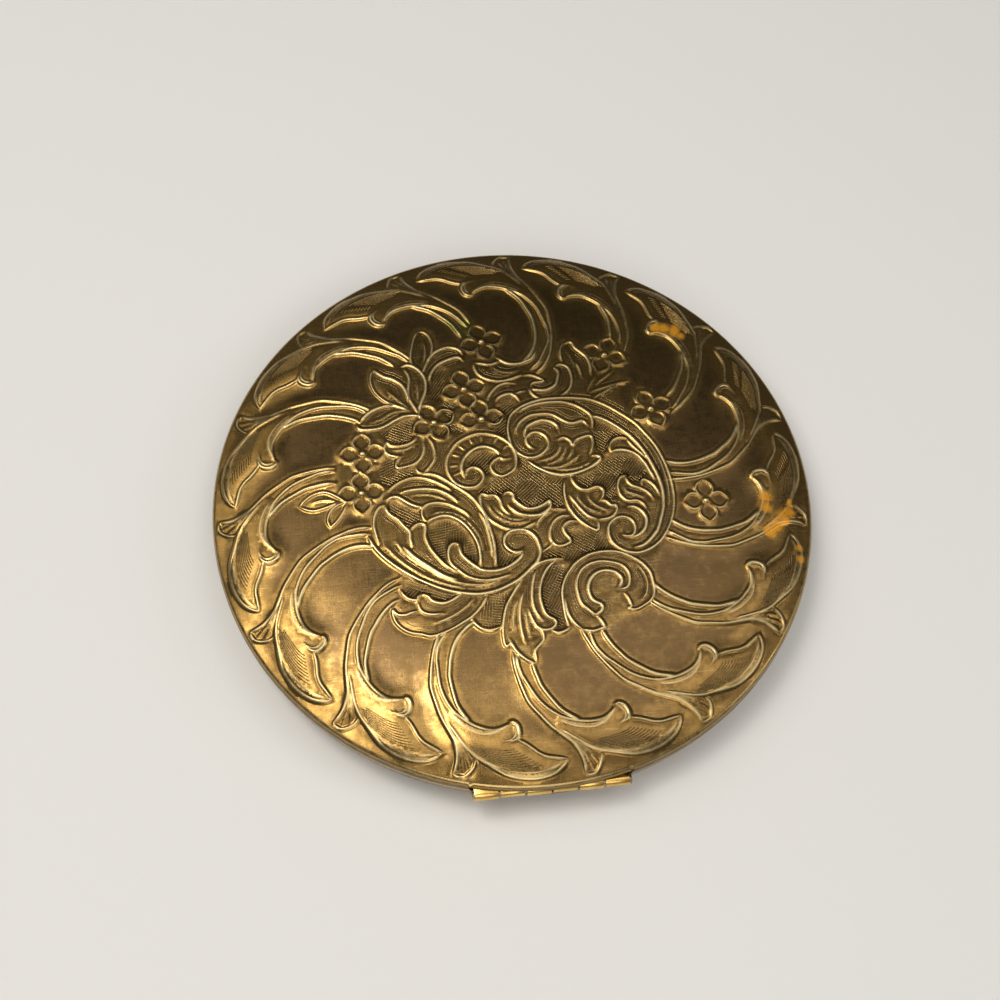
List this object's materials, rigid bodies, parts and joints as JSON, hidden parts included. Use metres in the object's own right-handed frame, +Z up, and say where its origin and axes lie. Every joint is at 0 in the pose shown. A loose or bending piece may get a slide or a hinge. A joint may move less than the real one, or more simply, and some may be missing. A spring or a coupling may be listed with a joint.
{
  "type": "powder compact with mirror",
  "caption": "Round, thin hinged compact with a mirror inside its domed lid, a sifter and puff over a powder well, and a push catch.",
  "frame": {"origin": "centre of the base's flat face, on the surface that the closed case rests on", "axes": "+Z up through the case to the lid, -Y towards the hinge, +Y towards the push catch, +X along the hinge pin"},
  "size_m": [0.1016, 0.1031, 0.0123],
  "materials": {
    "aged_brass": "stamped brass with worn gold tone",
    "hinge_brass": "bright rubbed brass",
    "inner_brass": "polished brass",
    "spring_brass": "satin hard brass",
    "pin_steel": "drawn wire",
    "mirror_silvered": "silvered glass",
    "backing_card": "grey-brown card",
    "gauze_silk": "woven silk gauze",
    "face_powder": "fine matte powder",
    "puff_velour": "velour",
    "puff_satin": "satin"
  },
  "bodies": {
    "base": {"base_shell": "aged_brass", "deck_frame": "inner_brass", "powder_well": "inner_brass", "powder_fill": "face_powder", "sifter_ring": "inner_brass", "sifter_gauze": "gauze_silk", "sifter_hoop": "inner_brass", "puff_pad": "puff_velour", "puff_cover": "puff_satin", "puff_ribbon": "puff_satin", "base_hinge_leaf": "hinge_brass", "hinge_pin": "pin_steel", "latch_bracket": "spring_brass", "latch_spring": "spring_brass"},
    "lid": {"lid_shell": "aged_brass", "mirror_backing": "backing_card", "mirror_glass": "mirror_silvered", "mirror_bezel": "inner_brass", "catch_tongue": "spring_brass", "lid_hinge_leaf": "hinge_brass"},
    "latch": {"latch_button": "hinge_brass"}
  },
  "joints": [
    {"name": "lid_hinge", "type": "hinge", "parent": "base", "child": "lid", "pos_m": [0, -0.05, 0.00685], "axis": [1, 0, 0], "range_deg": [0, 110], "deforming": ["catch_tongue"]},
    {"name": "latch_push", "type": "slide", "parent": "base", "child": "latch", "axis": [0, -1, 0], "range_m": [0, 0.0006], "stiffness_N_per_m": 2000, "springref_m": -0.0003, "deforming": ["latch_spring"]}
  ]
}
